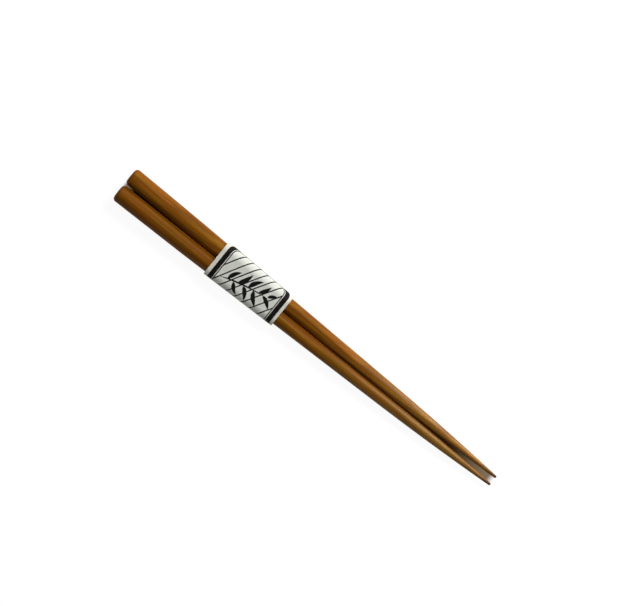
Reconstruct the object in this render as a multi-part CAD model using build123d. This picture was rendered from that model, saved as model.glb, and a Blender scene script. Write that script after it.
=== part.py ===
"""A pair of round wooden chopsticks, lying side by side in a lapped paper band.

+X runs along the pair from the heads to the tips, +Y to the left stick and +Z up. The origin is
on the table, midway along the pair and midway between the sticks. All sizes are in millimetres.
"""

from build123d import *
from math import atan, cos, sin, sqrt
import os

# Chopstick: a turned stick with a flat head, an almost even grip, a straight taper and a long point
STICK_LENGTH = 225.0
HEAD_DIAMETER = 9.0
HEAD_ROUNDING = 1.8
GRIP_LENGTH = 42.0
GRIP_END_DIAMETER = 8.82
NECK_DIAMETER = 6.0
POINT_LENGTH = 67.0
TIP_DIAMETER = 1.3
TIP_ROUNDING = 0.5

# Paper band: a strip wrapped round both sticks, with a glued lap on the underside
BAND_FROM_HEAD = 56.0
BAND_LENGTH = 40.4
PAPER_THICKNESS = 0.2
LAP_PAST_STICKS = 0.9
SIDE_SLACK = 1.0
LEFT_TOP_ROUNDING = 4.6
RIGHT_TOP_ROUNDING = 3.6
BOTTOM_ROUNDING = 2.0

# Clearance between surfaces that touch
TOUCH_GAP = 0.03

# Worked out from the sizes above
HEAD_RADIUS = HEAD_DIAMETER / 2
GRIP_END_RADIUS = GRIP_END_DIAMETER / 2
NECK_RADIUS = NECK_DIAMETER / 2
TIP_RADIUS = TIP_DIAMETER / 2
BODY_LENGTH = STICK_LENGTH - POINT_LENGTH
TAPER = (GRIP_END_RADIUS - NECK_RADIUS) / (BODY_LENGTH - GRIP_LENGTH)
CONE_SLOPE = max(TAPER, (HEAD_RADIUS - NECK_RADIUS) / BODY_LENGTH)
BAND_MIDDLE = BAND_FROM_HEAD + BAND_LENGTH / 2
BAND_END = BAND_FROM_HEAD + BAND_LENGTH
LAP_FLOOR = 2 * PAPER_THICKNESS

# Largest share of a stick end's radius that its rounding may take, and of a band side's height
# that a rounding at its top or its bottom may take
END_SHARE = 0.8
TOP_SHARE = 0.58
BOTTOM_SHARE = 0.4


def cone_radius(from_head):
    """Radius of the cone that the body fits in: the taper lies on it, and the grip inside it."""
    return NECK_RADIUS + CONE_SLOPE * (BODY_LENGTH - from_head)


def make_stick():
    """One chopstick along +X with its head at the origin: a half outline turned about the X axis."""
    head_corner = Vector(0, HEAD_RADIUS)
    grip_end = Vector(GRIP_LENGTH, GRIP_END_RADIUS)
    neck = Vector(BODY_LENGTH, NECK_RADIUS)
    tip_corner = Vector(STICK_LENGTH, TIP_RADIUS)
    tip_middle = Vector(STICK_LENGTH, 0)
    grip = Line(head_corner, grip_end)
    body = Line(grip_end, neck)
    point = TangentArc(neck, tip_corner, tangent=body % 1)
    ends = Polyline(tip_corner, tip_middle, (0, 0), head_corner)
    stick = revolve(make_face([grip, body, point, ends]), Axis.X)

    roundings = [
        (head_corner, min(HEAD_ROUNDING, END_SHARE * HEAD_RADIUS)),
        (tip_corner, min(TIP_ROUNDING, END_SHARE * TIP_RADIUS)),
    ]
    for corner, rounding in roundings:
        rim = stick.edges().filter_by(GeomType.CIRCLE).sort_by_distance(corner)[0]
        stick = fillet(rim, rounding)
    return stick


# The axes lean by the cone's slope, inward and down, so the sticks touch each other along their
# tapers, stand a little apart at their heads, and lie level on the band's floor.
lean = atan(CONE_SLOPE)
touch_radius = cone_radius(BAND_MIDDLE) * cos(lean)
run = sqrt(1 - 2 * sin(lean) ** 2)


def axis_point(from_head, side):
    """Point on a stick's axis; side is 1 for the left stick and -1 for the right one."""
    drop = (from_head - BAND_MIDDLE) * sin(lean)
    return Vector(
        (from_head - STICK_LENGTH / 2) * run,
        side * (touch_radius + TOUCH_GAP / 2 - drop),
        LAP_FLOOR + TOUCH_GAP + touch_radius - drop,
    )


def place_stick(stick, side):
    """Lay a stick in the band, on the left or the right side."""
    head = axis_point(0, side)
    along = (axis_point(STICK_LENGTH, side) - head).normalized()
    across = Vector(0, 0, 1).cross(along)
    return Plane(origin=head, x_dir=along, z_dir=along.cross(across)).location * stick


def band_skin(inset, lap_edge):
    """Solid filled by one skin of the band: a wedge that follows the sticks, with rounded long edges.

    The floor steps up by one paper thickness at the lap's edge, from the left part to the right.
    An inset of zero gives the outer skin, and one paper thickness gives the inner skin.
    """
    ends = [BAND_FROM_HEAD, BAND_END]
    start_x, end_x = [axis_point(end, 1).X for end in ends]
    side_room = SIDE_SLACK + PAPER_THICKNESS - inset
    top_room = TOUCH_GAP + PAPER_THICKNESS - inset
    start_width, end_width = [axis_point(end, 1).Y + cone_radius(end) + side_room for end in ends]
    start_top, end_top = [axis_point(end, 1).Z + cone_radius(end) + top_room for end in ends]
    left_floor = inset
    right_floor = inset + PAPER_THICKNESS

    plan_corners = [(start_x, start_width), (start_x, -start_width), (end_x, -end_width), (end_x, end_width)]
    side_corners = [(start_x, left_floor), (end_x, left_floor), (end_x, end_top), (start_x, start_top)]
    plan = make_face(Polyline(*plan_corners, close=True))
    side = make_face(Plane.XZ * Polyline(*side_corners, close=True))
    wedge = extrude(plan, start_top) & extrude(side, start_width, both=True)
    right_part = Box(BAND_LENGTH, 2 * start_width, right_floor, align=(Align.MIN, Align.MAX, Align.MIN))
    skin = wedge - Pos(start_x, lap_edge, 0) * right_part

    middle_x = (start_x + end_x) / 2
    width = (start_width + end_width) / 2
    top = (start_top + end_top) / 2
    side_height = end_top - right_floor
    long_edges = [
        (width, left_floor, min(BOTTOM_ROUNDING - inset, BOTTOM_SHARE * side_height)),
        (-width, right_floor, min(BOTTOM_ROUNDING - inset, BOTTOM_SHARE * side_height)),
        (width, top, min(LEFT_TOP_ROUNDING - inset, TOP_SHARE * side_height)),
        (-width, top, min(RIGHT_TOP_ROUNDING - inset, TOP_SHARE * side_height)),
    ]
    for y, z, rounding in long_edges:
        edge = skin.edges().sort_by_distance((middle_x, y, z))[0]
        skin = fillet(edge, rounding)
    return skin


def make_band():
    """The paper band: the outer skin's solid less the inner one's.

    The strip's two ends overlap in a lap under both sticks, which reaches a little past their middles.
    """
    half_lap = axis_point(BAND_FROM_HEAD, 1).Y + LAP_PAST_STICKS
    outer = band_skin(0, -half_lap)
    inner = band_skin(PAPER_THICKNESS, half_lap)
    return outer - inner


stick = make_stick()
nodes = {
    "left_chopstick": place_stick(stick, 1),
    "right_chopstick": place_stick(stick, -1),
    "paper_band": make_band(),
}

os.makedirs("parts", exist_ok=True)
for name, solid in nodes.items():
    export_step(solid, f"parts/{name}.step")
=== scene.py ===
"""Looks of a pair of round wooden chopsticks that lie side by side in a lapped, printed paper band.

The pair lies along X with its heads at -X, the left stick on the +Y side and the table at Z = 0.
Sizes are in millimetres, as in the model, and meshes are written in metres.
"""

import logging
import math
from dataclasses import dataclass
from enum import Enum

import bpy
import numpy as np
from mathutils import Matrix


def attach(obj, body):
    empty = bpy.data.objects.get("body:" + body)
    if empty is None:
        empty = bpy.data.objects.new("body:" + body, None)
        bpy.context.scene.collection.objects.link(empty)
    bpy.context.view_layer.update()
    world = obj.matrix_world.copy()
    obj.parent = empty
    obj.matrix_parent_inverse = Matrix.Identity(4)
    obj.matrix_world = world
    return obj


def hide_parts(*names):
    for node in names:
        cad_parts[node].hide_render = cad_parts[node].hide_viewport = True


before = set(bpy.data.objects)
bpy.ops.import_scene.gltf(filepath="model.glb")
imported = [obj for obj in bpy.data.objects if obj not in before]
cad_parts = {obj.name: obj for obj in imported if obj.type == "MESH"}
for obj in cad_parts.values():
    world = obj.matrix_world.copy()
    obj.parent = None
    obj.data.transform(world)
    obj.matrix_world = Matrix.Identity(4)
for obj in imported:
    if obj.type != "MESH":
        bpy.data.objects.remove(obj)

LOG = logging.getLogger("chopsticks")
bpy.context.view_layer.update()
BODY = "root"
MM = 0.001
BAKE_MAP = "OFBake"
STRIP = "strip"

# Sizes of the paper band that also place the sticks in it
BAND_FROM_HEAD = 56.0
BAND_LENGTH = 40.4
PAPER_THICKNESS = 0.2

# Places on the band's bake map: along it, its outer and inner skin round it, and its two cut ends
MAP_ALONG = (0.01, 0.93)
MAP_OUTER = (0.01, 0.66)
MAP_INNER = (0.69, 0.97)
MAP_END = 0.99
MAP_CAPS = (0.945, 0.975)
MAP_CAP_WIDTH = 0.015

Array = np.ndarray
Colour = tuple[float, float, float, float]
Pair = tuple[float, float]
Triple = tuple[float, float, float]
Socket = bpy.types.NodeSocket
Value = float | tuple[float, ...] | Socket
Inputs = dict[str | int, Value]


class Side(Enum):
    """The side of the pair that a stick lies on, as the sign of its Y."""

    LEFT = 1
    RIGHT = -1


class PaperFace(Enum):
    """The faces of the paper strip, as the material slots of its mesh."""

    PRINTED = 0
    BARE = 1


class NodeSheet:
    """A shader node tree that is being drawn, with short ways to add nodes and join them."""

    def __init__(self, tree: bpy.types.NodeTree) -> None:
        """Keep the tree that the nodes go into."""
        self.tree = tree

    def add(self, kind: str, inputs: Inputs | None = None, **settings: object) -> bpy.types.Node:
        """Add one node.

        Args:
            kind: the node's type, without the ShaderNode that it starts with.
            inputs: a socket to join or a constant to set, for each input by name or place.
            settings: the node's own properties, set before its inputs.

        Returns:
            The new node.
        """
        node = self.tree.nodes.new("ShaderNode" + kind)
        for name, setting in settings.items():
            setattr(node, name, setting)
        for key, value in (inputs or {}).items():
            self.put(value, node.inputs[key])
        return node

    def put(self, value: Value, socket: Socket) -> None:
        """Join a socket to an input, or set a constant on it.

        Args:
            value: the socket or the constant.
            socket: the input that takes it.
        """
        if isinstance(value, bpy.types.NodeSocket):
            self.tree.links.new(value, socket)
        else:
            socket.default_value = value

    def math(self, operation: str, *values: Value) -> Socket:
        """The result of a Math node on one to three values."""
        return self.add("Math", dict(enumerate(values)), operation=operation).outputs[0]

    def vector(self, operation: str, *values: Value) -> Socket:
        """The vector that a Vector Math node gives."""
        return self.add("VectorMath", dict(enumerate(values)), operation=operation).outputs["Vector"]

    def step(self, value: Value, low: Value, high: Value) -> Socket:
        """A smooth step of a value: 0 below low, 1 above high."""
        inputs = {"Value": value, "From Min": low, "From Max": high}
        return self.add("MapRange", inputs, interpolation_type="SMOOTHSTEP").outputs["Result"]

    def span(self, value: Value, low: float, high: float, start: float = 0.0, end: float = 1.0) -> Socket:
        """A value from start to end stretched to the span from low to high."""
        inputs = {"Value": value, "From Min": start, "From Max": end, "To Min": low, "To Max": high}
        return self.add("MapRange", inputs).outputs["Result"]

    def length(self, vector: Socket) -> Socket:
        """The length of a vector."""
        return self.add("VectorMath", {0: vector}, operation="LENGTH").outputs["Value"]

    def parts(self, vector: Socket) -> bpy.types.NodeOutputs:
        """The X, Y and Z of a vector."""
        return self.add("SeparateXYZ", {0: vector}).outputs

    def object_point(self) -> Socket:
        """The point on the object, in millimetres."""
        return self.vector("MULTIPLY", self.add("TexCoord").outputs["Object"], (1 / MM,) * 3)

    def blend(self, share: Value, first: Value, second: Value, mode: str = "MIX") -> Socket:
        """The first colour mixed with the second by a share."""
        node = self.add("Mix", {0: share, 6: first, 7: second}, data_type="RGBA", blend_type=mode)
        return node.outputs[2]

    def noise(self, point: Socket, stretch: Triple, detail: float, rough: float = 0.5) -> Socket:
        """Noise at a point.

        Args:
            point: the point in millimetres.
            stretch: how much each axis is multiplied by first, so a small value draws the noise out.
            detail: how many finer layers are added.
            rough: how strong each finer layer is.

        Returns:
            A value from 0 to 1.
        """
        place = self.vector("MULTIPLY", point, stretch)
        inputs = {"Vector": place, "Scale": 1.0, "Detail": detail, "Roughness": rough}
        return self.add("TexNoise", inputs).outputs["Fac"]


class EffectGroup:
    """A shader node group with named inputs and outputs, drawn once and placed in several materials."""

    def __init__(self, name: str, inputs: dict[str, str], outputs: list[str]) -> None:
        """Open a group.

        Args:
            name: the group's name.
            inputs: the kind of each named input, Float or Vector.
            outputs: the names of the values that the group puts out.
        """
        self.tree = bpy.data.node_groups.new(name, "ShaderNodeTree")
        for title, kind in inputs.items():
            self.tree.interface.new_socket(title, in_out="INPUT", socket_type="NodeSocket" + kind)
        for title in outputs:
            self.tree.interface.new_socket(title, in_out="OUTPUT", socket_type="NodeSocketFloat")
        self.sheet = NodeSheet(self.tree)
        self.given = self.tree.nodes.new("NodeGroupInput").outputs
        self.result = self.tree.nodes.new("NodeGroupOutput").inputs

    def put_out(self, values: dict[str, Socket]) -> None:
        """Join the values to the group's outputs."""
        for title, value in values.items():
            self.sheet.put(value, self.result[title])


@dataclass(frozen=True)
class GrainNoise:
    """Noise that is stretched along the grain and cut to a mask."""

    stretch: Triple
    detail: float
    cut: Pair
    rough: float = 0.5

    def mask(self, sheet: NodeSheet, point: Socket) -> Socket:
        """0 where the noise lies below the cut's first value, and 1 above its second."""
        return sheet.step(sheet.noise(point, self.stretch, self.detail, self.rough), *self.cut)


WOOD_WAVER = (0.012, 0.14, 0.14)
WOOD_GRAIN = {
    "Warmth": GrainNoise((0.03, 0.3, 0.3), 2.0, (0.3, 0.7)),
    "Streaks": GrainNoise((0.01, 0.5, 0.5), 3.0, (0.3, 0.7), 0.6),
    "Fibres": GrainNoise((0.05, 3.0, 3.0), 4.0, (0.25, 0.75), 0.65),
    "Pores": GrainNoise((0.2, 7.0, 7.0), 1.0, (0.6, 0.72)),
}
LATE_WOOD = (0.3, 0.85)
LEAF_BELLY = 0.7
LEAF_EDGE = (-0.02, 0.1)
PAPER_CLOUD = GrainNoise((0.55, 0.8, 0.8), 4.0, (0.3, 0.7), 0.65)
PAPER_FIBRE = (3.5, 6.0, 6.0)


def wood_figure() -> bpy.types.NodeTree:
    """The figure of solid wood at a point in millimetres whose X runs along the grain.

    Rings are a saw wave of the wavering distance from the pith, slow up to the late wood and quick
    after it. Warmth, streaks, fibres and pores are noise stretched along the grain, each finer than
    the one before it.

    Returns:
        A node group that puts out Rings, Warmth, Streaks, Fibres and Pores, each from 0 to 1.
    """
    inputs = {"Grain Point": "Vector", "Ring Spacing": "Float", "Ring Waver": "Float", "Ring Shift": "Float"}
    group = EffectGroup("wood_figure", inputs, ["Rings", *WOOD_GRAIN])
    sheet, given = group.sheet, group.given
    point = given["Grain Point"]
    waver = sheet.math("SUBTRACT", sheet.noise(point, WOOD_WAVER, detail=2.0), 0.5)
    from_pith = sheet.length(sheet.vector("MULTIPLY", point, (0.0, 1.0, 1.0)))
    shifted = sheet.math("ADD", from_pith, given["Ring Shift"])
    wavered = sheet.math("MULTIPLY_ADD", waver, given["Ring Waver"], shifted)
    saw = sheet.math("FRACT", sheet.math("DIVIDE", wavered, given["Ring Spacing"]))
    late_wood = sheet.math("SUBTRACT", sheet.step(saw, *LATE_WOOD), sheet.step(saw, LATE_WOOD[1], 1.0))
    masks = {title: noise.mask(sheet, point) for title, noise in WOOD_GRAIN.items()}
    group.put_out({"Rings": late_wood} | masks)
    return group.tree


def brush_leaf() -> bpy.types.NodeTree:
    """One leaf of a brush, laid on the paper strip.

    With t from 0 at the root to 1 at the tip, the leaf's half width is Width / 2 times
    1 - (2 t^p - 1)^2, about a line that bends sideways by Bend times 4 t (1 - t). The power p is
    LEAF_BELLY, which sets the widest place nearer to the root.

    Returns:
        A node group that puts out Ink, 1 inside the leaf and 0 outside.
    """
    inputs = {"Strip Point": "Vector", "Root": "Vector"}
    inputs |= {"Angle": "Float", "Length": "Float", "Width": "Float", "Bend": "Float"}
    group = EffectGroup("brush_leaf", inputs, ["Ink"])
    sheet, given = group.sheet, group.given
    offset = sheet.vector("SUBTRACT", given["Strip Point"], given["Root"])
    back = sheet.math("MULTIPLY", given["Angle"], -1.0)
    turned = sheet.add("VectorRotate", {"Vector": offset, "Angle": back}, rotation_type="Z_AXIS")
    leaf = sheet.parts(turned.outputs[0])
    share = sheet.math("DIVIDE", leaf["X"], given["Length"])
    inside = sheet.add("Clamp", {"Value": share}).outputs[0]
    hump = sheet.math("MULTIPLY", inside, sheet.math("SUBTRACT", 1.0, inside))
    line = sheet.math("MULTIPLY", sheet.math("MULTIPLY", hump, 4.0), given["Bend"])
    aside = sheet.math("ABSOLUTE", sheet.math("SUBTRACT", leaf["Y"], line))
    belly = sheet.math("MULTIPLY_ADD", sheet.math("POWER", inside, LEAF_BELLY), 2.0, -1.0)
    fullness = sheet.math("SUBTRACT", 1.0, sheet.math("MULTIPLY", belly, belly))
    half = sheet.math("MULTIPLY", sheet.math("MULTIPLY", given["Width"], 0.5), fullness)
    depth = sheet.math("SUBTRACT", half, aside)
    within = sheet.math("COMPARE", share, 0.5, 0.5)
    group.put_out({"Ink": sheet.math("MULTIPLY", sheet.step(depth, *LEAF_EDGE), within)})
    return group.tree


def paper_grain() -> bpy.types.NodeTree:
    """The cloudy fibres of uncoated paper at a point in millimetres.

    Returns:
        A node group that puts out Cloud, broad and soft, and Fibre, fine, each from 0 to 1.
    """
    group = EffectGroup("paper_grain", {"Point": "Vector"}, ["Cloud", "Fibre"])
    sheet, point = group.sheet, group.given["Point"]
    fibre = sheet.noise(point, PAPER_FIBRE, detail=3.0, rough=0.7)
    group.put_out({"Cloud": PAPER_CLOUD.mask(sheet, point), "Fibre": fibre})
    return group.tree


def grey(level: float) -> Colour:
    """A grey of one level."""
    return (level, level, level, 1.0)


def cleared_sheet(holder: bpy.types.Material | bpy.types.World) -> NodeSheet:
    """Empty the nodes of a material or a world.

    Args:
        holder: what holds the nodes.

    Returns:
        The sheet of its nodes.
    """
    holder.use_nodes = True
    holder.node_tree.nodes.clear()
    return NodeSheet(holder.node_tree)


def new_material(name: str) -> tuple[bpy.types.Material, NodeSheet, bpy.types.Node]:
    """A new material with one Principled shader.

    Args:
        name: the material's name.

    Returns:
        The material, the sheet of its nodes and its Principled node.
    """
    material = bpy.data.materials.new(name)
    sheet = cleared_sheet(material)
    shader = sheet.add("BsdfPrincipled")
    sheet.add("OutputMaterial", {"Surface": shader.outputs[0]})
    return material, sheet, shader


def new_object(name: str, data: bpy.types.ID) -> bpy.types.Object:
    """Put a new object in the scene, at the origin.

    Args:
        name: the object's name.
        data: its mesh, lamp or camera.

    Returns:
        The object.
    """
    item = bpy.data.objects.new(name, data)
    bpy.context.scene.collection.objects.link(item)
    return item


@dataclass(frozen=True)
class DarkStreak:
    """A dark line along the stick: its ends in X and Y, its half width and the share that fades."""

    start: Pair
    end: Pair
    half_width: float
    fading: float = 0.25

    def share(self, sheet: NodeSheet, point: Socket) -> Socket:
        """The dark line's share of a point's colour.

        Args:
            sheet: the sheet of the material's nodes.
            point: the point in millimetres.

        Returns:
            1 in the middle of the line, fading to 0 at its sides and its ends.
        """
        place = sheet.parts(point)
        along = sheet.span(place["X"], 0.0, 1.0, self.start[0], self.end[0])
        line = sheet.span(along, self.start[1], self.end[1])
        aside = sheet.math("ABSOLUTE", sheet.math("SUBTRACT", place["Y"], line))
        ends = sheet.math("PINGPONG", along, 0.5)
        sides = sheet.step(aside, self.half_width, 0.0)
        return sheet.math("MULTIPLY", sides, sheet.step(ends, 0.0, self.fading))


@dataclass(frozen=True)
class Swirl:
    """A place where the rings bend round a knot: its middle, its reach each way and its ring count."""

    middle: Triple
    reach: Triple
    rings: float

    def shift(self, sheet: NodeSheet, point: Socket) -> Socket:
        """The rings that the knot adds: their count times exp(-d^2), with d the distance over the reach.

        Args:
            sheet: the sheet of the material's nodes.
            point: the point in millimetres.

        Returns:
            A count of rings.
        """
        apart = sheet.vector("DIVIDE", sheet.vector("SUBTRACT", point, self.middle), self.reach)
        squared = sheet.math("POWER", sheet.length(apart), 2.0)
        fade = sheet.math("EXPONENT", sheet.math("MULTIPLY", squared, -1.0))
        return sheet.math("MULTIPLY", fade, self.rings)


@dataclass(frozen=True)
class WoodFinish:
    """Brown hardwood, sanded and oiled to a satin sheen, cut from its own place in the tree."""

    name: str
    pith: Triple
    pith_turn: Triple
    swirl: Swirl
    streak: DarkStreak
    ring_spacing: float = 2.4
    ring_waver: float = 3.0
    olive: Colour = (0.252, 0.100, 0.0034, 1.0)
    rust: Colour = (0.305, 0.092, 0.0050, 1.0)
    light: Colour = (0.460, 0.200, 0.0180, 1.0)
    dark: Colour = (0.112, 0.031, 0.0016, 1.0)
    pore: Colour = (0.050, 0.013, 0.0010, 1.0)
    straw: Colour = (0.290, 0.146, 0.0230, 1.0)
    straw_share: float = 0.6
    light_share: float = 0.65
    dark_share: float = 0.65
    ring_share: float = 0.42
    dark_line_share: float = 0.65
    pore_share: float = 0.3
    tip_share: float = 0.75
    fibre_weight: float = 0.4
    middle_tone: float = 0.5
    point_span: Pair = (0.0, 80.0)
    tip_span: Pair = (103.0, 112.0)
    roughness: Pair = (0.46, 0.38)
    fibre_gloss: float = 0.05
    pore_dullness: float = 0.1
    coat: float = 0.18
    coat_roughness: float = 0.28
    specular: float = 0.05
    bump: float = 0.1
    bump_depth: float = 0.03
    fibre_height: float = 0.3

    def material(self, figure: bpy.types.NodeTree) -> bpy.types.Material:
        """The wood's material.

        Args:
            figure: the wood_figure group.

        Returns:
            A material that reads Object coordinates.
        """
        material, sheet, shader = new_material(self.name)
        point = sheet.object_point()
        turns = tuple(math.radians(turn) for turn in self.pith_turn)
        grain = sheet.add("Mapping", {"Vector": point, "Location": self.pith, "Rotation": turns})
        shift = sheet.math("MULTIPLY", self.swirl.shift(sheet, point), self.ring_spacing)
        values = {"Grain Point": grain.outputs[0], "Ring Shift": shift}
        values |= {"Ring Spacing": self.ring_spacing, "Ring Waver": self.ring_waver}
        wood = sheet.add("Group", values, node_tree=figure).outputs
        sheet.put(self._colour(sheet, point, wood), shader.inputs["Base Color"])

        toward_tip = sheet.step(sheet.parts(point)["X"], *self.point_span)
        satin = sheet.span(toward_tip, *self.roughness)
        dull = sheet.math("MULTIPLY_ADD", wood["Fibres"], -self.fibre_gloss, satin)
        dull = sheet.math("MULTIPLY_ADD", wood["Pores"], self.pore_dullness, dull)
        sheet.put(dull, shader.inputs["Roughness"])
        sheet.put(sheet.math("MULTIPLY", toward_tip, self.coat), shader.inputs["Coat Weight"])
        raised = sheet.math("MULTIPLY", wood["Fibres"], self.fibre_height)
        height = sheet.math("SUBTRACT", raised, wood["Pores"])
        bump = sheet.add("Bump", {"Strength": self.bump, "Distance": self.bump_depth * MM, "Height": height})
        sheet.put(bump.outputs[0], shader.inputs["Normal"])
        shader.inputs["Specular IOR Level"].default_value = self.specular
        shader.inputs["Coat Roughness"].default_value = self.coat_roughness
        return material

    def _colour(self, sheet: NodeSheet, point: Socket, wood: bpy.types.NodeOutputs) -> Socket:
        """The wood's colour: olive and rust bands under straw, pale and dark streaks, rings and pores.

        Args:
            sheet: the sheet of the material's nodes.
            point: the point in millimetres.
            wood: the outputs of the wood_figure group.

        Returns:
            The colour, darker at the very tip.
        """
        streaks = sheet.math("MULTIPLY", wood["Streaks"], 1 - self.fibre_weight)
        tone = sheet.math("MULTIPLY_ADD", wood["Fibres"], self.fibre_weight, streaks)
        along = sheet.parts(point)["X"]
        layers = [
            (sheet.step(along, *self.point_span), self.straw_share, self.straw),
            (sheet.step(tone, self.middle_tone, 1.0), self.light_share, self.light),
            (sheet.step(tone, self.middle_tone, 0.0), self.dark_share, self.dark),
            (wood["Rings"], self.ring_share, self.dark),
            (self.streak.share(sheet, point), self.dark_line_share, self.dark),
            (wood["Pores"], self.pore_share, self.pore),
            (sheet.step(along, *self.tip_span), self.tip_share, self.pore),
        ]
        colour = sheet.blend(wood["Warmth"], self.olive, self.rust)
        for mask, share, layer in layers:
            colour = sheet.blend(sheet.math("MULTIPLY", mask, share), colour, layer)
        return colour


def tube_quads(rows: int, columns: int) -> tuple[Array, Array, Array]:
    """Quads of a grid of points whose columns close on themselves.

    A quad faces the way of its column direction crossed with its row direction.

    Args:
        rows: rows of points along the tube.
        columns: points round each row.

    Returns:
        The point numbers of each quad, and the row and the unwrapped column of each of its corners.
    """
    row, column = np.meshgrid(np.arange(rows - 1), np.arange(columns), indexing="ij")
    row = np.stack([row, row, row + 1, row + 1], -1).reshape(-1, 4)
    column = np.stack([column, column + 1, column + 1, column], -1).reshape(-1, 4)
    return row * columns + column % columns, row, column


@dataclass
class Chopstick:
    """One stick: a flat, rounded head, an almost even grip, a straight taper and an arc for a point."""

    side: Side
    finish: WoodFinish
    length: float = 225.0
    head_radius: float = 4.5
    head_rounding: float = 1.8
    grip_length: float = 42.0
    grip_end_radius: float = 4.41
    neck_radius: float = 3.0
    point_length: float = 67.0
    tip_radius: float = 0.65
    tip_rounding: float = 0.5
    touch_from_head: float = BAND_FROM_HEAD + BAND_LENGTH / 2
    touch_gap: float = 0.03
    rest_height: float = 2 * PAPER_THICKNESS
    columns: int = 96
    face_rows: int = 10
    rim_rows: int = 16
    grip_rows: int = 60
    body_rows: int = 170
    point_rows: int = 120
    tip_rows: int = 10

    @property
    def name(self) -> str:
        """The name of the model's node that the stick stands for."""
        return f"{self.side.name.lower()}_chopstick"

    @property
    def body_length(self) -> float:
        """Length of the grip and the taper, from the head to the neck."""
        return self.length - self.point_length

    @property
    def taper(self) -> float:
        """Loss of radius for each millimetre of the taper."""
        return (self.grip_end_radius - self.neck_radius) / (self.body_length - self.grip_length)

    def cone_radius(self, from_head: float | Array) -> float | Array:
        """Radius at a distance from the head of the cone that the taper lies on."""
        return self.neck_radius + self.taper * (self.body_length - from_head)

    def axis_point(self, from_head: float | Array) -> Array:
        """Points of the axis, which leans inward and down by the taper, so that the sticks touch.

        Args:
            from_head: distances along the stick from its head.

        Returns:
            Points with X, Y and Z in the last axis.
        """
        lean = math.atan(self.taper)
        reach = self.cone_radius(self.touch_from_head) * math.cos(lean)
        run = math.sqrt(1 - 2 * math.sin(lean) ** 2)
        drop = (np.asarray(from_head) - self.touch_from_head) * math.sin(lean)
        x = (np.asarray(from_head) - self.length / 2) * run
        y = self.side.value * (reach + self.touch_gap / 2 - drop)
        return np.stack([x, y, self.rest_height + self.touch_gap + reach - drop], axis=-1)

    def outline(self) -> Array:
        """The half outline from the middle of the head to the middle of the tip.

        The head's rounding is an arc between the flat head and the grip. The point is an arc that
        leaves the neck along the taper and ends at the tip's corner, where a small arc rounds it.

        Returns:
            Rows of distance from the head and radius.
        """
        grip_slope = (self.head_radius - self.grip_end_radius) / self.grip_length
        head_middle = self.head_radius - self.head_rounding * (grip_slope + math.hypot(1, grip_slope))
        face = np.stack([np.zeros(self.face_rows), np.linspace(0, head_middle, self.face_rows)], axis=1)
        turn = np.linspace(math.pi, math.pi / 2 - math.atan(grip_slope), self.rim_rows)
        arc = self.head_rounding * np.stack([np.cos(turn), np.sin(turn)], 1)
        head = [self.head_rounding, head_middle] + arc

        grip_end = np.array([self.grip_length, self.grip_end_radius])
        neck = np.array([self.body_length, self.neck_radius])
        grip = np.linspace(head[-1], grip_end, self.grip_rows)
        body = np.linspace(grip_end, neck, self.body_rows)

        slant = math.atan(self.taper)
        chord = np.array([self.length, self.tip_radius]) - neck
        inward = np.array([-math.sin(slant), -math.cos(slant)])
        forward = np.array([math.cos(slant), -math.sin(slant)])
        bow = chord @ chord / (2 * chord @ inward)
        sweep = 2 * math.asin(math.hypot(*chord) / (2 * bow))
        rounding_share = self.tip_rounding / self.point_length
        angles = np.linspace(0, sweep * (1 - rounding_share), self.point_rows)[:, None]
        point = neck + bow * (inward * (1 - np.cos(angles)) + forward * np.sin(angles))

        end_slant = slant + sweep
        tip_middle = self.tip_radius + self.tip_rounding * (math.tan(end_slant) - 1 / math.cos(end_slant))
        turn = np.linspace(math.pi / 2 - end_slant, 0, self.tip_rows)
        tip_centre = np.array([self.length - self.tip_rounding, tip_middle])
        tip = tip_centre + self.tip_rounding * np.stack([np.cos(turn), np.sin(turn)], 1)
        end = np.array([[self.length, 0.0]])
        return np.concatenate([face, head[1:], grip[1:], body[1:], point[1:], tip[1:], end])

    def surface(self) -> tuple[Array, list[Array], list[Array]]:
        """The outline turned about the stick's axis, with a closed pole at each end.

        A point is the axis at its distance plus its radius times (cos a across + sin a up).

        Returns:
            Points in millimetres, blocks of faces and a map for each face's corners.
        """
        outline = self.outline()
        columns = self.columns
        share = np.concatenate([[0], np.cumsum(np.hypot(*np.diff(outline, axis=0).T))])
        share /= share[-1]
        angle = np.linspace(0, 2 * math.pi, columns, endpoint=False)
        along, radius = outline[1:-1, :1], outline[1:-1, 1:]

        head, tip = self.axis_point(0.0), self.axis_point(self.length)
        forward = (tip - head) / np.linalg.norm(tip - head)
        across = np.cross([0, 0, 1], forward)
        across /= np.linalg.norm(across)
        up = np.cross(forward, across)
        spokes = np.cos(angle)[:, None] * across + np.sin(angle)[:, None] * up
        rings = head + along[:, :, None] * forward + radius[:, :, None] * spokes
        points = np.concatenate([[head], rings.reshape(-1, 3), [tip]])

        quads, row, column = tube_quads(len(along), columns)
        first = np.arange(columns)
        following = (first + 1) % columns
        last_ring = len(points) - 1 - columns
        head_fan = np.stack([np.zeros_like(first), 1 + following, 1 + first], -1)
        tip_point = np.full_like(first, len(points) - 1)
        tip_fan = np.stack([tip_point, last_ring + first, last_ring + following], -1)

        quad_map = np.stack([share[row + 1], column / columns], -1)
        head_turn = np.stack([first + 0.5, first + 1, first], -1) / columns
        tip_turn = np.stack([first + 0.5, first, first + 1], -1) / columns
        head_map = np.stack(np.broadcast_arrays(share[[0, 1, 1]], head_turn), -1)
        tip_map = np.stack(np.broadcast_arrays(share[[-1, -2, -2]], tip_turn), -1)
        return points, [1 + quads, head_fan, tip_fan], [quad_map, head_map, tip_map]

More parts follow.
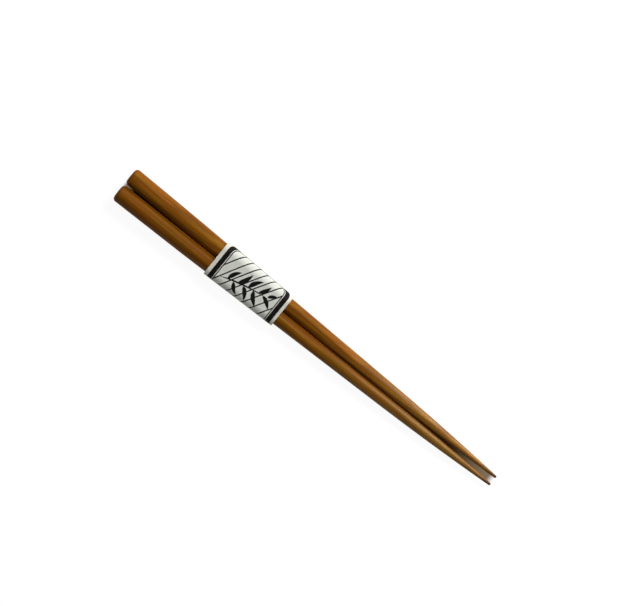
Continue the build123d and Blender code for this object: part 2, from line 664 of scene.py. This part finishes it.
    def build(self, figure: bpy.types.NodeTree) -> bpy.types.Object:
        """Make the stick, dress it and set it in the place of its node.

        Args:
            figure: the wood_figure group.

        Returns:
            The stick's object.
        """
        piece = new_piece(f"{self.name}_wood", *self.surface())
        piece.data.materials.append(self.finish.material(figure))
        return seat(piece, self.name)


def new_piece(name: str, points: Array, faces: list[Array], maps: list[Array]) -> bpy.types.Object:
    """A smooth mesh object at the origin.

    Args:
        name: the piece's name.
        points: its points in millimetres.
        faces: blocks of faces, each a row of point numbers.
        maps: for each block, a place from 0 to 1 for each corner of its faces.

    Returns:
        The new object, in the scene.
    """
    mesh = bpy.data.meshes.new(name)
    corners = sum((block.tolist() for block in faces), [])
    mesh.from_pydata((points * MM).tolist(), [], corners)
    layer = mesh.uv_layers.new(name=BAKE_MAP)
    layer.uv.foreach_set("vector", np.concatenate([block.ravel() for block in maps]))
    mesh.shade_smooth()
    return new_object(name, mesh)


def seat(piece: bpy.types.Object, node: str) -> bpy.types.Object:
    """Let a piece stand for a node of the model and ride on its one body.

    Args:
        piece: the piece.
        node: the node that it replaces.

    Returns:
        The piece.
    """
    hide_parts(node)
    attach(piece, BODY)
    return piece


@dataclass(frozen=True)
class LeafStroke:
    """One brush leaf: where its root is on the strip, and its angle, length, width and bend."""

    root: Pair
    angle: float
    length: float
    width: float
    bend: float = 0.0


@dataclass(frozen=True)
class BandPrint:
    """The print on the strip, in millimetres along it from its head edge and round it from its middle."""

    frame_low: Pair = (1.9, -24.0)
    frame_high: Pair = (38.9, 13.6)
    frame_corner: float = 7.4
    thick_line: float = 2.4
    line_gap: float = 0.35
    thin_line: float = 0.5
    hatch_angle: float = 60.0
    hatch_spacing: float = 3.93
    hatch_line: float = 0.62
    hatch_shift: float = 3.36
    edge_softness: float = 0.05
    brush_grain: float = 2.2
    brush_waver: float = 0.25
    sprig: tuple[LeafStroke, ...] = (
        LeafStroke((6.6, -5.4), 12.0, 27.5, 0.9, 0.9),
        LeafStroke((10.4, -4.2), 58.0, 7.6, 2.1, 0.7),
        LeafStroke((13.6, -3.6), -44.0, 6.4, 2.0, -0.5),
        LeafStroke((15.6, -2.8), 66.0, 8.4, 2.3, -0.6),
        LeafStroke((18.6, -2.3), -54.0, 7.2, 2.2, 0.5),
        LeafStroke((20.6, -1.5), 56.0, 8.2, 2.3, 0.7),
        LeafStroke((23.6, -1.1), -48.0, 8.2, 2.3, -0.6),
        LeafStroke((26.2, -0.3), 62.0, 7.0, 2.1, -0.5),
        LeafStroke((28.6, -0.1), -36.0, 7.4, 2.1, 0.6),
        LeafStroke((30.8, 0.6), 38.0, 5.4, 1.8, 0.4),
    )


@dataclass(frozen=True)
class PaperFinish:
    """Smooth off-white paper, printed in black with a frame, slanting lines and a leafy sprig."""

    layout: BandPrint
    paper: Colour = (0.745, 0.755, 0.690, 1.0)
    margin: Colour = (0.750, 0.718, 0.628, 1.0)
    shade: Colour = (0.610, 0.630, 0.566, 1.0)
    ink: Colour = (0.004, 0.003, 0.003, 1.0)
    ink_cover: float = 0.985
    ink_gloss: float = 0.15
    cloud_share: float = 0.5
    strip_share: float = 0.35
    roughness: Pair = (0.55, 0.72)
    specular: float = 0.05
    bump: float = 0.2
    bump_depth: float = 0.02

    def bare(self, grain: bpy.types.NodeTree) -> bpy.types.Material:
        """The material of the unprinted back and the cut edges.

        Args:
            grain: the paper_grain group.

        Returns:
            A material that reads Object coordinates.
        """
        material, sheet, shader = new_material("paper_bare")
        fibres = sheet.add("Group", {"Point": sheet.object_point()}, node_tree=grain).outputs
        share = sheet.math("MULTIPLY", fibres["Cloud"], self.cloud_share)
        sheet.put(sheet.blend(share, self.margin, self.paper), shader.inputs["Base Color"])
        self._surface(sheet, shader, fibres["Fibre"], None)
        return material

    def _surface(self, sheet: NodeSheet, shader: bpy.types.Node, fibre: Socket, ink: Socket | None) -> None:
        """Set the paper's roughness and its fine bump, smoother where there is ink.

        Args:
            sheet: the sheet of the material's nodes.
            shader: its Principled node.
            fibre: the fine fibres, from 0 to 1.
            ink: the share of ink, or nothing on bare paper.
        """
        dull = sheet.span(fibre, *self.roughness)
        if ink is not None:
            dull = sheet.math("SUBTRACT", dull, sheet.math("MULTIPLY", ink, self.ink_gloss))
        sheet.put(dull, shader.inputs["Roughness"])
        bump = sheet.add("Bump", {"Strength": self.bump, "Distance": self.bump_depth * MM, "Height": fibre})
        sheet.put(bump.outputs[0], shader.inputs["Normal"])
        shader.inputs["Specular IOR Level"].default_value = self.specular

    def printed(self, grain: bpy.types.NodeTree, leaf: bpy.types.NodeTree) -> bpy.types.Material:
        """The material of the printed face.

        Args:
            grain: the paper_grain group.
            leaf: the brush_leaf group.

        Returns:
            A material that reads the strip attribute.
        """
        material, sheet, shader = new_material("paper_printed")
        point = sheet.add("Attribute", attribute_name=STRIP).outputs["Vector"]
        fibres = sheet.add("Group", {"Point": point}, node_tree=grain).outputs
        depth = self._frame_depth(sheet, point)
        soft = self.layout.edge_softness
        thick_end = self.layout.thick_line
        thin_start = thick_end + self.layout.line_gap
        thin_end = thin_start + self.layout.thin_line
        thick = self._between(sheet, depth, 0.0, thick_end)
        thin = self._between(sheet, depth, thin_start, thin_end)
        field = sheet.step(depth, thin_end - soft, thin_end + soft)
        line, wave = self._hatch(sheet, point)
        drawn = sheet.math("MAXIMUM", line, self._sprig(sheet, point, leaf))
        inside = sheet.math("MULTIPLY", drawn, field)
        ink = sheet.math("MAXIMUM", sheet.math("MAXIMUM", thick, thin), inside)

        ground = sheet.blend(field, self.margin, self.paper)
        strips = sheet.math("MULTIPLY", wave, sheet.math("MULTIPLY", field, self.strip_share))
        clouds = sheet.math("MULTIPLY", fibres["Cloud"], self.cloud_share)
        for share in (strips, clouds):
            ground = sheet.blend(share, ground, self.shade)
        cover = sheet.math("MULTIPLY", ink, sheet.span(fibres["Fibre"], 1.0, self.ink_cover))
        sheet.put(sheet.blend(cover, ground, self.ink), shader.inputs["Base Color"])
        self._surface(sheet, shader, fibres["Fibre"], ink)
        return material

    def _between(self, sheet: NodeSheet, value: Socket, low: float, high: float) -> Socket:
        """A printed line with soft edges.

        Args:
            sheet: the sheet of the material's nodes.
            value: the value that the line follows.
            low: where the line starts.
            high: where it ends.

        Returns:
            1 where the value lies from low to high, and 0 elsewhere.
        """
        soft = self.layout.edge_softness
        start = sheet.step(value, low - soft, low + soft)
        return sheet.math("SUBTRACT", start, sheet.step(value, high - soft, high + soft))

    def _frame_depth(self, sheet: NodeSheet, point: Socket) -> Socket:
        """Depth of a strip point inside the frame's rounded rectangle, in millimetres.

        The point's distance from the frame's middle, less the half sizes without the corners, is cut
        off below zero; the corner radius less its length is the depth.

        Args:
            sheet: the sheet of the material's nodes.
            point: the strip point.

        Returns:
            The depth, below zero outside the frame.
        """
        low, high = np.array(self.layout.frame_low), np.array(self.layout.frame_high)
        middle, half = (low + high) / 2, (high - low) / 2
        corner = self.layout.frame_corner
        offset = sheet.vector("ABSOLUTE", sheet.vector("SUBTRACT", point, (*middle, 0.0)))
        over = sheet.vector("SUBTRACT", offset, (*(half - corner), 0.0))
        outside = sheet.vector("MAXIMUM", over, (0.0, 0.0, 0.0))
        past = sheet.parts(over)
        deep = sheet.math("MINIMUM", sheet.math("MAXIMUM", past["X"], past["Y"]), 0.0)
        return sheet.math("SUBTRACT", sheet.math("SUBTRACT", corner, sheet.length(outside)), deep)

    def _hatch(self, sheet: NodeSheet, point: Socket) -> tuple[Socket, Socket]:
        """The slanting lines and the soft shade between them.

        Args:
            sheet: the sheet of the material's nodes.
            point: the strip point.

        Returns:
            1 on a line, and a shade from 0 at a line to 1 midway to the next.
        """
        angle = math.radians(self.layout.hatch_angle)
        normal = (math.sin(angle), -math.cos(angle), 0.0)
        along = sheet.add("VectorMath", {0: point, 1: normal}, operation="DOT_PRODUCT").outputs["Value"]
        shifted = sheet.math("ADD", along, self.layout.hatch_shift)
        beside = sheet.math("PINGPONG", shifted, self.layout.hatch_spacing / 2)
        half, soft = self.layout.hatch_line / 2, self.layout.edge_softness
        line = sheet.math("SUBTRACT", 1.0, sheet.step(beside, half - soft, half + soft))
        return line, sheet.step(beside, 0.0, self.layout.hatch_spacing / 2)

    def _sprig(self, sheet: NodeSheet, point: Socket, leaf: bpy.types.NodeTree) -> Socket:
        """The ink of all the brush leaves, with edges roughened by a fine noise.

        Args:
            sheet: the sheet of the material's nodes.
            point: the strip point.
            leaf: the brush_leaf group.

        Returns:
            1 on a leaf and 0 beside it.
        """
        waver = self.layout.brush_waver
        grain = sheet.noise(point, (self.layout.brush_grain,) * 3, detail=2.0)
        jitter = sheet.math("MULTIPLY_ADD", grain, 2 * waver, -waver)
        rough = sheet.vector("ADD", point, sheet.add("CombineXYZ", {0: jitter, 1: jitter}).outputs[0])
        ink: Value = 0.0
        for stroke in self.layout.sprig:
            values = {"Strip Point": rough, "Root": (*stroke.root, 0.0), "Angle": math.radians(stroke.angle)}
            values |= {"Length": stroke.length, "Width": stroke.width, "Bend": stroke.bend}
            drawn = sheet.add("Group", values, node_tree=leaf).outputs["Ink"]
            ink = sheet.math("MAXIMUM", drawn, ink)
        return ink


def yz(y: Array, z: Array | float) -> Array:
    """Y and Z side by side, one pair for each row of the band."""
    return np.stack(np.broadcast_arrays(y, z), -1)


@dataclass
class SectionRun:
    """One stretch of the band's middle line in every row, with its outward normals."""

    line: Array
    normal: Array

    @classmethod
    def straight(cls, start: Array, end: Array, normal: Pair, count: int) -> "SectionRun":
        """A straight stretch with one normal.

        Args:
            start: its first point in every row.
            end: its last point in every row.
            normal: the way that it faces.
            count: how many points it has.

        Returns:
            The stretch.
        """
        share = np.linspace(0, 1, count)[:, None]
        line = start[:, None] + (end - start)[:, None] * share
        return cls(line, np.broadcast_to(np.array(normal, float), line.shape))

    @classmethod
    def arc(cls, centre: Array, radius: float, first: float, last: float, count: int = 24) -> "SectionRun":
        """A stretch along an arc, with normals away from its centre.

        Args:
            centre: the centre in every row.
            radius: the radius of the middle line.
            first: the angle where the arc starts, in degrees.
            last: the angle where it ends.
            count: how many points it has.

        Returns:
            The stretch.
        """
        angle = np.radians(np.linspace(first, last, count))
        normal = np.stack([np.cos(angle), np.sin(angle)], -1)
        line = centre[:, None] + radius * normal
        return cls(line, np.broadcast_to(normal, line.shape))


@dataclass
class PaperBand:
    """One strip of paper, wrapped round both sticks and lapped on the underside."""

    stick: Chopstick
    finish: PaperFinish
    from_head: float = BAND_FROM_HEAD
    length: float = BAND_LENGTH
    paper: float = PAPER_THICKNESS
    lap_past_sticks: float = 0.9
    side_slack: float = 1.0
    left_top_rounding: float = 4.6
    right_top_rounding: float = 3.6
    bottom_rounding: float = 2.0
    bulge: float = 0.05
    layer_gap: float = 0.01
    crease_angle: float = 50.0
    rows: int = 90
    floor_columns: int = 30
    right_columns: int = 10
    top_columns: int = 70
    left_columns: int = 6
    name: str = "paper_band"

    def section(self) -> tuple[Array, Array]:
        """The strip's middle line at each row along the band, and its outward normals.

        The line starts at the inner end of the lap, runs along the floor to the right, up the right
        side, over the top to the left, down the left side and back along the floor to its outer end.
        Straight stretches are spans between two points, and roundings are quarter arcs.

        Returns:
            Two arrays of rows, columns and Y and Z.
        """
        along = np.linspace(self.from_head, self.from_head + self.length, self.rows)
        axis = self.stick.axis_point(along)
        cone = self.stick.cone_radius(along)
        skin = self.paper / 2
        width = axis[:, 1] + cone + self.side_slack + skin
        top = axis[:, 2] + cone + self.stick.touch_gap + skin
        lap = np.full_like(width, axis[0, 1] + self.lap_past_sticks)
        right_floor, left_floor = 3 * skin, skin
        low = self.bottom_rounding - skin
        right, left = self.right_top_rounding - skin, self.left_top_rounding - skin
        straight, arc = SectionRun.straight, SectionRun.arc
        runs = [
            straight(yz(lap, right_floor), yz(low - width, right_floor), (0, -1), self.floor_columns),
            arc(yz(low - width, right_floor + low), low, -90, -180),
            straight(yz(-width, right_floor + low), yz(-width, top - right), (-1, 0), self.right_columns),
            arc(yz(right - width, top - right), right, 180, 90),
            straight(yz(right - width, top), yz(width - left, top), (0, 1), self.top_columns),
            arc(yz(width - left, top - left), left, 90, 0),
            straight(yz(width, top - left), yz(width, left_floor + low), (1, 0), self.left_columns),
            arc(yz(width - low, left_floor + low), low, 0, -90),
            straight(yz(width - low, left_floor), yz(-lap, left_floor), (0, -1), self.floor_columns),
        ]
        line = np.concatenate([runs[0].line] + [run.line[:, 1:] for run in runs[1:]], axis=1)
        normal = np.concatenate([runs[0].normal] + [run.normal[:, 1:] for run in runs[1:]], axis=1)
        return line, normal

    def strip_place(self, line: Array) -> Array:
        """Distances round the strip from the middle of its top.

        Args:
            line: the strip's middle line at each row.

        Returns:
            A distance for each column of the middle row.
        """
        middle = line[len(line) // 2]
        travel = np.concatenate([[0], np.cumsum(np.hypot(*np.diff(middle, axis=0).T))])
        on_top = middle[:, 1] > middle[:, 1].max() - self.paper
        return travel - np.interp(0, middle[on_top, 0], travel[on_top])

    def surface(self) -> tuple[Array, list[Array], list[Array], Array]:
        """The strip as a closed sheet of paper: its section's loop carried along the band.

        The loop runs out along the outer skin and back along the inner one, each half a paper's
        thickness from the middle line. Between the sticks' crowns the top bulges by a squared cosine.

        Returns:
            Points in millimetres, blocks of faces, their maps, and each point's place on the strip.
        """
        line, normal = self.section()
        rows, columns = line.shape[:2]
        crown = self.stick.axis_point(self.stick.touch_from_head)[1]
        free = np.clip(np.abs(line[..., 0]) / crown, 0, 1)
        over = line[..., 1] > self.stick.rest_height + self.stick.neck_radius
        line[..., 1] += self.bulge * over * np.cos(math.pi / 2 * free) ** 2
        skin = (self.paper - self.layer_gap) / 2
        loop = np.concatenate([line + skin * normal, (line - skin * normal)[:, ::-1]], axis=1)
        along = np.linspace(self.from_head, self.from_head + self.length, rows)
        x = np.broadcast_to(self.stick.axis_point(along)[:, :1], (rows, 2 * columns))
        points = np.concatenate([x[..., None], loop], axis=-1).reshape(-1, 3)
        round_strip = self.strip_place(line)
        place = np.zeros((rows, 2 * columns, 3))
        place[..., 0] = (along - self.from_head)[:, None]
        place[..., 1] = np.concatenate([round_strip, round_strip[::-1]])

        around = 2 * columns
        skins, row, column = tube_quads(rows, around)
        edge = np.arange(columns - 1)
        start_cap = np.stack([edge, edge + 1, around - 2 - edge, around - 1 - edge], -1)
        end_cap = start_cap[:, ::-1] + (rows - 1) * around

        reach = np.linspace(*MAP_ALONG, rows)
        outer, inner = np.linspace(*MAP_OUTER, columns), np.linspace(*MAP_INNER, columns)
        height = np.concatenate([outer, inner, [MAP_END]])
        skin_map = np.stack([reach[row], height[column]], -1)
        rise = np.linspace(MAP_OUTER[0], MAP_END, columns)[edge[:, None] + [0, 1, 1, 0]]
        depth = MAP_CAP_WIDTH * np.array([0, 0, 1, 1])
        cap_maps = [np.stack(np.broadcast_arrays(start + depth, rise), -1) for start in MAP_CAPS]
        faces = [skins[:, ::-1], start_cap, end_cap]
        return points, faces, [skin_map[:, ::-1], cap_maps[0], cap_maps[1][:, ::-1]], place.reshape(-1, 3)

    def build(self, grain: bpy.types.NodeTree, leaf: bpy.types.NodeTree) -> bpy.types.Object:
        """Make the band, dress it and set it in the place of its node.

        Args:
            grain: the paper_grain group.
            leaf: the brush_leaf group.

        Returns:
            The band's object.
        """
        points, faces, maps, place = self.surface()
        piece = new_piece(f"{self.name}_strip", points, faces, maps)
        mesh = piece.data
        mesh.set_sharp_from_angle(angle=math.radians(self.crease_angle))
        attribute = mesh.attributes.new(STRIP, "FLOAT_VECTOR", "POINT")
        attribute.data.foreach_set("vector", place.ravel())
        around = len(points) // self.rows
        columns = np.arange(len(faces[0])) % around
        printed = columns < around // 2 - 1
        slots = np.where(printed, PaperFace.PRINTED.value, PaperFace.BARE.value)
        bare = np.full(len(faces[1]) + len(faces[2]), PaperFace.BARE.value)
        mesh.materials.append(self.finish.printed(grain, leaf))
        mesh.materials.append(self.finish.bare(grain))
        mesh.polygons.foreach_set("material_index", np.concatenate([slots, bare]).astype(np.int32))
        return seat(piece, self.name)


@dataclass(frozen=True)
class Lamp:
    """A soft rectangular lamp that looks from an azimuth and an elevation at a place along the pair."""

    name: str
    azimuth: float
    elevation: float
    distance: float
    size: Pair
    power: float
    aim: float = 0.0

    def hang(self, height: float) -> None:
        """Make the lamp, turn it to its aim and hide it from the camera.

        Args:
            height: the height of its aim over the table, in millimetres.
        """
        data = bpy.data.lights.new(self.name, "AREA")
        data.shape = "RECTANGLE"
        data.size, data.size_y = self.size
        data.energy = self.power
        lamp = new_object(self.name, data)
        turn, rise = math.radians(self.azimuth), math.radians(self.elevation)
        flat = self.distance * math.cos(rise)
        lamp.rotation_euler = (math.pi / 2 - rise, 0.0, turn + math.pi / 2)
        lamp.location.x = self.aim * MM + flat * math.cos(turn)
        lamp.location.y = flat * math.sin(turn)
        lamp.location.z = height * MM + self.distance * math.sin(rise)
        lamp.visible_camera = False


@dataclass
class Studio:
    """A white floor, soft lamps and a camera straight above, turned as the photograph is."""

    stick: Chopstick
    image_size: tuple[int, int] = (633, 606)
    pair_middle_px: Pair = (309.0, 332.5)
    pixels_per_mm: float = 2.106
    turn: float = 38.9
    camera_distance: float = 1.5
    outline_height: float = 4.5
    sensor: float = 36.0
    floor_size: float = 30.0
    floor_drop: float = 0.05
    floor_grey: float = 0.15
    floor_bounce: float = 0.6
    floor_glow: float = 0.93
    # Painted shade on the floor between the sticks' axes: dark brown, and a lighter painted brown in the
    # notch between the heads and the gap between the points, each reaching its listed distances inside the
    # ends
    painted_deep_shade: Colour = (0.05, 0.03, 0.015, 1.0)
    painted_open_shade: Colour = (0.21, 0.15, 0.095, 1.0)
    notch_shade: Pair = (6.0, 0.5)
    notch_white: Pair = (1.0, -1.0)
    gap_shade: Pair = (28.0, 2.0)
    gap_white: Pair = (3.5, -0.5)
    sky_light: Pair = (0.10, 0.38)
    sky_turn: Pair = (-0.35, 0.45)
    lamps: tuple[Lamp, ...] = (
        Lamp("key", 78.0, 43.0, 1.0, (0.45, 0.3), 6.2),
        Lamp("low", 78.0, 11.0, 1.0, (0.5, 0.2), 3.4),
        Lamp("points", 90.0, 10.0, 0.12, (0.09, 0.04), 0.085, 94.0),
        Lamp("fill", -90.0, 7.0, 1.0, (0.5, 0.2), 1.2),
    )

    def set_camera(self) -> None:
        """Hang the camera over the pair, so that the pair's middle falls on its pixel."""
        width = self.image_size[0] / self.pixels_per_mm * MM
        data = bpy.data.cameras.new("camera")
        data.sensor_fit = "HORIZONTAL"
        data.sensor_width = self.sensor
        data.lens = self.sensor * self.camera_distance / width
        camera = new_object("camera", data)
        turn = math.radians(self.turn)
        right, up = np.array([math.cos(turn), math.sin(turn)]), np.array([-math.sin(turn), math.cos(turn)])
        offset_px = np.array(self.image_size) / 2 - np.array(self.pair_middle_px)
        place = (right * offset_px[0] - up * offset_px[1]) / self.pixels_per_mm * MM
        camera.location = (*place, self.outline_height * MM + self.camera_distance)
        camera.rotation_euler = (0.0, 0.0, turn)
        bpy.context.scene.camera = camera

    def lay_floor(self) -> None:
        """Lay a white floor that keeps shadows: part of its white is reflected, and part is its own; between
        the sticks' axes it carries painted shade.
        """
        half = self.floor_size / 2
        corners = [(-half, -half, 0.0), (half, -half, 0.0), (half, half, 0.0), (-half, half, 0.0)]
        mesh = bpy.data.meshes.new("floor")
        mesh.from_pydata(corners, [], [(0, 1, 2, 3)])
        floor = new_object("floor", mesh)
        floor.location.z = -self.floor_drop * MM
        material = bpy.data.materials.new("floor_white")
        sheet = cleared_sheet(material)
        # Between the sticks' axes the floor's colour and glow are painted shade, rising to white past their
        # ends
        clear, half_clear = self.clear_of_pair(sheet)
        seen = self.seen_directly(sheet)
        open_floor = sheet.blend(seen, grey(self.floor_bounce), grey(self.floor_grey))
        matt = sheet.add("BsdfDiffuse", {"Color": sheet.blend(clear, self.painted_deep_shade, open_floor)})
        shade = sheet.blend(half_clear, grey(0.0), self.painted_open_shade)
        white = sheet.blend(clear, shade, grey(1.0))
        strength = sheet.math("MULTIPLY", seen, self.floor_glow)
        glow = sheet.add("Emission", {"Color": white, "Strength": strength})
        both = sheet.add("AddShader", {0: matt.outputs[0], 1: glow.outputs[0]})
        sheet.add("OutputMaterial", {"Surface": both.outputs[0]})
        mesh.materials.append(material)

    def clear_of_pair(self, sheet: NodeSheet) -> tuple[Socket, Socket]:
        """How far the floor lies out of the painted shade between the axes of the sticks.

        Args:
            sheet: the sheet of the floor's nodes.

        Returns:
            1 outside the axes and past their ends, and a slower rise to 1 in the notch and the gap.
        """
        head, tip = self.stick.axis_point(0.0), self.stick.axis_point(self.stick.length)
        place = sheet.parts(sheet.object_point())

        def toward_ends(notch: Pair, gap: Pair) -> Socket:
            """A rise to 1 at both ends, each from its first to its second distance inside the end."""
            at_heads = sheet.step(place["X"], *(head[0] + np.array(notch)))
            return sheet.math("MAXIMUM", at_heads, sheet.step(place["X"], *(tip[0] - np.array(gap))))

        axis = sheet.span(place["X"], head[1], tip[1], head[0], tip[0])
        outside = sheet.math("GREATER_THAN", sheet.math("ABSOLUTE", place["Y"]), axis)
        clear = sheet.math("MAXIMUM", outside, toward_ends(self.notch_white, self.gap_white))
        return clear, toward_ends(self.notch_shade, self.gap_shade)

    @staticmethod
    def seen_directly(sheet: NodeSheet) -> Socket:
        """Tell the rays that show the floor from those that light the pair.

        Args:
            sheet: the sheet of the floor's nodes.

        Returns:
            1 for rays from the camera, in reflections and through glass, and 0 for other light.
        """
        path = sheet.add("LightPath").outputs
        shown = sheet.math("MAXIMUM", path["Is Camera Ray"], path["Is Glossy Ray"])
        return sheet.math("MAXIMUM", shown, path["Is Transmission Ray"])

    def set_world(self) -> None:
        """Set a soft grey sky that fills the shadows, brighter on the pair's left than on its right."""
        world = bpy.data.worlds.new("studio")
        sheet = cleared_sheet(world)
        direction = sheet.parts(sheet.add("TexCoord").outputs["Generated"])
        leftward = sheet.step(direction["Y"], *self.sky_turn)
        strength = sheet.span(leftward, *self.sky_light)
        sky = sheet.add("Background", {"Color": grey(1.0), "Strength": strength})
        sheet.add("OutputWorld", {"Surface": sky.outputs[0]})
        bpy.context.scene.world = world

    def build(self) -> None:
        """Set the camera, the floor, the world and the lamps."""
        bpy.context.scene.view_settings.view_transform = "Standard"
        self.set_camera()
        self.lay_floor()
        self.set_world()
        for lamp in self.lamps:
            lamp.hang(self.outline_height)


def main() -> None:
    """Build both sticks, the band and the studio, and report each piece."""
    logging.basicConfig(level=logging.INFO, format="%(name)s: %(message)s")
    figure, grain, leaf = wood_figure(), paper_grain(), brush_leaf()
    left_wood = WoodFinish(
        name="wood_left",
        pith=(0.0, 14.0, 17.0),
        pith_turn=(0.0, 1.2, -1.4),
        swirl=Swirl((-112.5, 0.0, 8.0), (13.0, 5.6, 9.0), -2.0),
        streak=DarkStreak((-19.0, 4.2), (27.0, 3.1), 0.9),
    )
    right_wood = WoodFinish(
        name="wood_right",
        pith=(40.0, -18.0, 22.0),
        pith_turn=(0.0, -1.0, 1.1),
        swirl=Swirl((60.0, -5.0, 0.0), (30.0, 3.0, 4.0), 1.0),
        streak=DarkStreak((-75.0, -6.4), (-30.0, -5.4), 0.7),
        olive=(0.190, 0.073, 0.0026, 1.0),
        rust=(0.232, 0.067, 0.0036, 1.0),
        light=(0.375, 0.158, 0.0140, 1.0),
    )
    left = Chopstick(Side.LEFT, left_wood)
    right = Chopstick(Side.RIGHT, right_wood)
    band = PaperBand(left, PaperFinish(BandPrint()))
    for piece in (left.build(figure), right.build(figure), band.build(grain, leaf)):
        LOG.info("%s: %d points, %d faces", piece.name, len(piece.data.vertices), len(piece.data.polygons))
    Studio(left).build()


if __name__ == "__main__":
    main()
